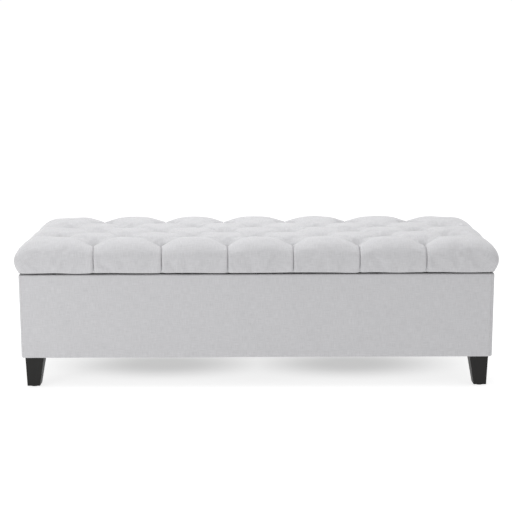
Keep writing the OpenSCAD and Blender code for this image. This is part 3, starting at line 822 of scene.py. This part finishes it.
BOX_CORNER_R = 12.0
CORNER_STEPS = 18
LONG_STEP = 9.0  # mm from one line of the mesh to the next along a side
END_STEPS = (0, 0.8, 1.6, 3.2, 6, 12)  # mm from a side's end to the closer lines there
FREE_END = 20.0  # mm from a side's end to the first of the even lines
RIM_R, FOOT_R = 4.0, 3.0
UNDER_EDGE, UNDER_MIDDLE = 25.0, 14.0  # mm in under the box, to the cloth's edge and half-way to it
INSIDE_R, INSIDE_START = 3.2, 2.0  # mm: the turn down into the box, and how far before its inner face
INSIDE_TOP, INSIDE_END = 4.0, 26.0  # mm down inside to where the cloth hangs straight, and to its end
FACE_DEPTH = 5.0  # mm in from the face that still count as the face
PUFF, PUFF_WAVES, PUFF_RIPPLES = 1.1, (0.5, 170), (0.22, 45)  # mm: mean, and height and length of waves
PUFF_START = 60.0  # mm from a corner over which that begins
RIM_BAND = 12.0  # mm below the rim that the next two lower
RIM_WAVES = (0.15, 160)  # mm: height and length
CORNER_DROP = 0.4  # mm
SEAM_IN = 4.0  # mm round the corner from a flat side to the corner's seam
GROOVE = (1.0, 1.1, 0.0)  # mm: depth, half width, and how far beyond the seam
FOLD = (0.7, 1.4, 2.4)  # the same for the raised fold: height, half width, how far beyond


def box_path():
    """Points round the box at its outer face: place, outward normal, and distance along the cloth."""
    half = box_high[:2] - BOX_CORNER_R
    places, normals = [], []
    turns = [((-1, -1), (0, -1)), ((1, -1), (1, 0)), ((1, 1), (0, 1)), ((-1, 1), (-1, 0))]
    for k, (corner, out) in enumerate(turns):
        after = turns[(k + 1) % 4][0]
        start, end = half * corner, half * after
        length = np.linalg.norm(end - start)
        fine = np.array(END_STEPS)
        middle = np.linspace(FREE_END, length - FREE_END, round((length - 2 * FREE_END) / LONG_STEP) + 1)
        for d in np.concatenate([fine, middle, length - fine[::-1]]):
            places.append(start + (end - start) * d / length + np.array(out) * BOX_CORNER_R)
            normals.append(out)
        for t in np.linspace(0, math.pi / 2, CORNER_STEPS + 1)[1:-1]:
            side = (-out[1], out[0])
            heading = np.array(out) * math.cos(t) + np.array(side) * math.sin(t)
            places.append(end + heading * BOX_CORNER_R)
            normals.append(heading)
    places, normals = np.array(places), np.array(normals, float)
    steps = np.linalg.norm(np.diff(places, axis=0), axis=1)
    return places, normals, np.concatenate([[0], np.cumsum(steps)])


def box_section():
    """Closed outline of the upholstery round the box, as depth in from its face and height."""
    low, high = box_low[2], box_high[2]
    pad = panel_low[1] - box_low[1]
    inner = box_high[0] - end_low[0]
    cloth = panel_low[2] - box_low[2]
    arc = np.radians([0, 22.5, 45, 67.5, 90])
    outline = [(UNDER_EDGE, low), (UNDER_MIDDLE, low)]
    outline += [(FOOT_R * (1 - math.sin(t)), low + FOOT_R * (1 - math.cos(t))) for t in arc]
    outline += [(0.0, z) for z in np.linspace(low + FOOT_R, high - RIM_R, 24)[1:-1]]
    outline += [(RIM_R * (1 - math.cos(t)), high - RIM_R * (1 - math.sin(t))) for t in arc]
    outline += [(inner * 0.35, high - 0.2), (inner * 0.65, high - 0.3), (inner - 3, high - 0.1)]
    outline += [(inner - INSIDE_START + INSIDE_R * math.sin(t), high - INSIDE_R * (1 - math.cos(t)))
                for t in arc[1:]]
    outline += [(inner + cloth, z) for z in np.linspace(high - INSIDE_TOP, high - INSIDE_END, 5)]
    outline += [(inner, high - INSIDE_END), (inner, high - cloth), (pad, high - cloth)]
    outline += [(pad, low + cloth), (UNDER_EDGE, low + cloth)]
    return np.array(outline)


def edge_distance(along, total, normals):
    """Distance along the cloth to the nearest end of a flat side, negative round the corners."""
    flat = np.max(np.abs(normals), axis=1) > 0.999
    ends = along[flat & ~(np.roll(flat, 1) & np.roll(flat, -1))]
    ends = np.concatenate([ends - total, ends, ends + total])
    nearest = np.abs(along[:, None] - ends).min(1)
    return np.where(flat, nearest, -nearest)


def seam_profile(edge):
    """A hand-closed seam round the corner from a flat side: a groove beside a raised fold."""
    depth, wide, beyond = GROOVE
    groove = -depth * np.exp(-((edge + SEAM_IN + beyond) / wide) ** 2)
    height, wide, beyond = FOLD
    fold = height * np.exp(-((edge + SEAM_IN + beyond) / wide) ** 2)
    return groove + fold


def cloth_bulge(points, edge, section):
    """How far the padding pushes the cloth out of the box's faces, in millimetres."""
    height = (section[:, 1] - box_low[2]) / (box_high[2] - box_low[2])
    face = (section[:, 0] < FACE_DEPTH).astype(float) * np.sin(np.clip(height, 0, 1) * math.pi) ** 0.6
    flat, shape = points.reshape(-1, 3), points.shape[:2]
    puff = PUFF + PUFF_WAVES[0] * waves(flat, 21, PUFF_WAVES[1]).reshape(shape)
    puff += PUFF_RIPPLES[0] * waves(flat * [1, 1, 0.35], 22, PUFF_RIPPLES[1]).reshape(shape)
    puff *= smooth_step(edge, 0, PUFF_START)[:, None]
    return face * puff


def box_upholstery():
    """The box's cover with its foam: one closed piece round the four panels and over their rim."""
    places, normals, along = box_path()
    section = box_section()
    total = along[-1] + np.linalg.norm(places[0] - places[-1])
    count, wide = len(places), len(section)
    points = np.zeros((count, wide, 3))
    points[:, :, :2] = places[:, None] - normals[:, None] * section[:, :1]
    points[:, :, 2] = section[:, 1]
    edge = edge_distance(along, total, normals)
    long_sides = np.abs(normals[:, 1]) > np.abs(normals[:, 0])
    seam = (seam_profile(edge) * long_sides)[:, None] * (section[:, 0] < FACE_DEPTH)
    push = cloth_bulge(points, edge, section) + seam
    points[:, :, :2] += normals[:, None] * push[:, :, None]
    rim = section[:, 1] > box_high[2] - RIM_BAND
    drop = (edge < 0) * CORNER_DROP + RIM_WAVES[0] * (1.5 + waves(places, 23, RIM_WAVES[1]))
    points[:, :, 2] -= drop[:, None] * rim
    around = np.concatenate([[0], np.cumsum(np.linalg.norm(np.diff(section, axis=0), axis=1))])
    threads = np.stack(np.meshgrid(along, around, indexing="ij"), -1).reshape(-1, 2)
    index = np.arange(count * wide).reshape(count, wide)
    after, up = np.roll(index, -1, axis=0), np.roll(index, -1, axis=1)
    faces = np.stack([index, after, np.roll(after, -1, axis=1), up], -1).reshape(-1, 4)
    obj = make_object("box_upholstery", points.reshape(-1, 3), faces, threads)
    finish_piece(obj, "base", "grey_linen", "base_cover", "base_padding")


# ---------- linings ----------


def grid_patch(origin, u, v, nu, nv):
    """Points and quads of a flat grid from origin along u and v."""
    a, b = np.meshgrid(np.linspace(0, 1, nu + 1), np.linspace(0, 1, nv + 1), indexing="ij")
    points = np.array(origin) + a.reshape(-1, 1) * np.array(u) + b.reshape(-1, 1) * np.array(v)
    index = np.arange(points.shape[0]).reshape(nu + 1, nv + 1)
    faces = np.stack([index[:-1, :-1], index[1:, :-1], index[1:, 1:], index[:-1, 1:]], -1)
    return points, faces.reshape(-1, 4)


def join_patches(patches):
    """One list of points and one of faces from several pairs of them."""
    points, faces, start = [], [], 0
    for p, f in patches:
        points.append(p)
        faces.append(f + start)
        start += len(p)
    return np.vstack(points), np.vstack(faces)


def weld(obj, distance):
    with editing(obj.data) as made:
        bmesh.ops.remove_doubles(made, verts=made.verts, dist=distance)
        bmesh.ops.recalc_face_normals(made, faces=made.faces)


def thicken(obj, thickness):
    """Thickness for a thin cloth, half of it on each side."""
    solid = obj.modifiers.new("thickness", "SOLIDIFY")
    solid.thickness = thickness
    solid.offset = 0


LINING_INSET = 0.5  # mm from the CAD lining's outer faces in to the cloth
LINING_STEP = 12.0  # mm
LINING_LOOSE = (0.25, 130)  # mm: how far off the box it hangs at least, and its waves' length
SHEET_STEP = 14.0  # mm
SHEET_SAG = (0.12, 90, 30)  # mm: how deep, how long, and how far from the edge it starts
STAPLE_INSET, STAPLE_PITCH = 7.0, 62.0
STAPLE_LENGTH, STAPLE_R = 9.0, 0.45
STAPLE_RISE = 0.3  # of its radius, as the wire is driven into the cloth


def storage_lining():
    """One cloth over the floor and up the four walls, a little loose."""
    low, high = box_mm("storage_lining")
    x, y = high[0] - LINING_INSET, high[1] - LINING_INSET
    bottom, top = low[2] + LINING_INSET, high[2]
    nx, ny, nz = (round(n / LINING_STEP) for n in (2 * x, 2 * y, top - bottom))
    long, wide, up = [2 * x, 0, 0], [0, 2 * y, 0], [0, 0, top - bottom]
    patches = [grid_patch([-x, -y, bottom], long, wide, nx, ny)]
    patches += [grid_patch([-x, side * y, bottom], long, up, nx, nz) for side in (-1, 1)]
    patches += [grid_patch([side * x, -y, bottom], wide, up, ny, nz) for side in (-1, 1)]
    points, faces = join_patches(patches)
    least, length = LINING_LOOSE
    loose = least + 0.25 * np.abs(waves(points, 31, length))
    at_wall = np.abs(np.abs(points[:, :2]) - [x, y]) < 0.1
    points[:, 2] += np.where(points[:, 2] < bottom + 1, loose, 0)
    points[:, 0] -= np.where(at_wall[:, 0], np.sign(points[:, 0]) * 0.2 * loose, 0)
    points[:, 1] -= np.where(at_wall[:, 1], np.sign(points[:, 1]) * loose, 0)
    obj = make_object("storage_lining_cloth", points, faces)
    weld(obj, 1.2 * MM)
    thicken(obj, 0.5 * MM)
    finish_piece(obj, "base", "black_lining", "storage_lining")


def stretched_sheet(name, cad_node, body, seed):
    """A lining pulled flat and stapled, with its show face down."""
    low, high = box_mm(cad_node)
    size = high - low
    middle = (low[2] + high[2]) / 2
    points, faces = grid_patch([low[0], low[1], middle], [size[0], 0, 0], [0, size[1], 0],
                               *(round(length / SHEET_STEP) for length in size[:2]))
    border = np.min(size[:2] / 2 - np.abs(points[:, :2]), axis=1)
    depth, length, start = SHEET_SAG
    points[:, 2] += depth * waves(points[:, :2], seed, length) * smooth_step(border, 0, start)
    obj = make_object(name, points, faces)
    thicken(obj, size[2] * 0.6 * MM)
    finish_piece(obj, body, "black_lining", cad_node)
    staples(name + "_staples", low, high, body)


def staples(name, low, high, body):
    """Wire staples round the edge of a stretched lining, as short flattened rods."""
    half = (high - low)[:2] / 2 - STAPLE_INSET
    angle = np.arange(6) * math.pi / 3
    rod = [(end * STAPLE_LENGTH / 2, STAPLE_R * math.cos(a), STAPLE_RISE * STAPLE_R * math.sin(a))
           for end in (-1, 1) for a in angle]
    rods = {0: np.array(rod), 1: np.array(rod)[:, [1, 0, 2]]}
    sides = [(k, (k + 1) % 6, 6 + (k + 1) % 6, 6 + k) for k in range(6)]
    ends = [tuple(range(6)), tuple(range(11, 5, -1))]
    points, faces = [], []
    for axis in (0, 1):
        count = int(2 * half[axis] / STAPLE_PITCH)
        for t in np.linspace(-half[axis], half[axis], count + 1)[1:-1]:
            for side in (-1, 1):
                middle = np.array([0, 0, low[2]])
                middle[axis], middle[1 - axis] = t, side * half[1 - axis]
                faces += [tuple(len(points) + k for k in face) for face in sides + ends]
                points += list(middle + rods[axis])
    finish_piece(make_object(name, points, faces), body, "zinc_steel")


# ---------- carried-over CAD nodes ----------


# How wide each material's softly broken edges are, in mm.
BROKEN_EDGES = {"espresso_wood": 1.2, "zinc_steel": 0.25, "rubber": 0.5, "plywood": 0.5, "pine": 0.8}


def dress_cad_nodes():
    """Every CAD node gets its slot's material, and those that still show, in a slot listed in
    BROKEN_EDGES, get softly broken edges.
    """
    slots = {row["node"]: row["material_slot"] for row in frame["record"]["subparts"]}
    for name, obj in frame["nodes"].items():
        obj.data.materials.clear()
        obj.data.materials.append(slot_materials[slots[name]])
        width = BROKEN_EDGES.get(slots[name])
        if width and not obj.hide_render:
            obj.modifiers.new("weld", "WELD").merge_threshold = 0.01 * MM
            bevel = obj.modifiers.new("edges", "BEVEL")
            bevel.width = width * MM
            bevel.segments = 2
            bevel.limit_method = "ANGLE"
            bevel.angle_limit = math.radians(40)


# ---------- studio ----------

FLOOR_SIZE = 900  # m
GLOW_UNDER, GLOW_ROUND = 0.52, 0.80  # the floor's own glow: lower under the bench as a painted shadow, and full round it
PAINTED_SHADOW_OUT, PAINTED_SHADOW_HALF = 0.27, (0.33, 0.17)  # m: where the two darkest places of the floor's painted shadow are, and their half sizes
GLOW_EDGE = (0.15, 1.05)  # share of that size between which the light comes back
BAND_TOP, BAND_FADE = 0.30, 0.15  # sine of the elevation up to which the walls are white, and the fade
WALL, ABOVE = 1.03, 0.55  # brightness of the walls' lower part and of the dome above
CAMERA_PLACE = (-0.001, -3.348, 0.937)
LENS, SENSOR = 83.9, 36  # mm
LOOK_DOWN, ROLL = 10.47, -0.2  # degrees


def floor_material():
    """A pale seamless floor that glows as its own light, with a painted shadow: its glow is dimmer under
    the bench.
    """
    look = Shader("studio_floor", (0.35, 0.35, 0.35), Roughness=1.0, Specular_IOR_Level=0.0)
    axes = node(look.tree, "SeparateXYZ", {0: look.place()})
    out = look.maths("SUBTRACT", look.maths("ABSOLUTE", axes.outputs[0]), PAINTED_SHADOW_OUT)
    x = look.maths("DIVIDE", out, PAINTED_SHADOW_HALF[0])
    y = look.maths("DIVIDE", axes.outputs[1], PAINTED_SHADOW_HALF[1])
    squares = look.maths("ADD", look.maths("MULTIPLY", x, x), look.maths("MULTIPLY", y, y))
    # painted shadow: the floor's glow drops to GLOW_UNDER round the two places under the bench
    glow = node(look.tree, "MapRange",
                {"Value": look.maths("SQRT", squares), "From Min": GLOW_EDGE[0],
                 "From Max": GLOW_EDGE[1], "To Min": GLOW_UNDER, "To Max": GLOW_ROUND},
                interpolation_type="SMOOTHSTEP")
    look.inputs["Emission Color"].default_value = (1, 1, 1, 1)
    look.connect("Emission Strength", glow.outputs[0])
    return look.material


def studio_world():
    """White walls all round under a dimmer dome."""
    world = bpy.data.worlds.new("studio")
    world.use_nodes = True
    tree = world.node_tree
    heading = node(tree, "TexCoord").outputs["Generated"]
    height = node(tree, "SeparateXYZ", {0: heading}).outputs[2]
    strength = node(tree, "MapRange",
                    {"Value": height, "From Min": BAND_TOP, "From Max": BAND_TOP + BAND_FADE,
                     "To Min": WALL, "To Max": ABOVE})
    background = tree.nodes["Background"]
    background.inputs["Color"].default_value = (1, 1, 1, 1)
    tree.links.new(strength.outputs[0], background.inputs["Strength"])
    scene.world = world


def area_light(name, place, target, size, power):
    """A square softbox, with its places and size in metres and its power in watts."""
    light = bpy.data.lights.new(name, "AREA")
    light.size = size
    light.energy = power
    obj = bpy.data.objects.new(name, light)
    scene.collection.objects.link(obj)
    obj.visible_camera = False
    obj.location = place
    obj.rotation_euler = (Vector(target) - Vector(place)).to_track_quat("-Z", "Y").to_euler()


def studio():
    bpy.ops.mesh.primitive_plane_add(size=FLOOR_SIZE)
    floor = bpy.context.object
    floor.name = "studio_floor"
    floor.data.materials.append(floor_material())
    studio_world()
    area_light("top_softbox", place=(-0.12, 0.3, 2.3), target=(0, 0.1, 0.3), size=2.2, power=46)
    area_light("left_softbox", place=(-1.9, -1.7, 0.55), target=(0, 0, 0.25), size=0.8, power=12)


def camera():
    """A long lens in front of the bench, looking down a little."""
    lens = bpy.data.cameras.new("camera")
    lens.sensor_width = SENSOR
    lens.lens = LENS
    obj = bpy.data.objects.new("camera", lens)
    scene.collection.objects.link(obj)
    obj.location = CAMERA_PLACE
    look = Euler((math.radians(90 - LOOK_DOWN), 0, 0)).to_matrix()
    obj.rotation_euler = (look @ Euler((0, 0, math.radians(ROLL))).to_matrix()).to_euler()
    scene.camera = obj
    scene.view_settings.view_transform = "Standard"


camera()
studio()
lid_cushion()
covered_buttons()
box_upholstery()
storage_lining()
stretched_sheet("lid_lining_cloth", "lid_lining", "lid", 41)
stretched_sheet("dust_cover_cloth", "dust_cover", "base", 42)
dress_cad_nodes()
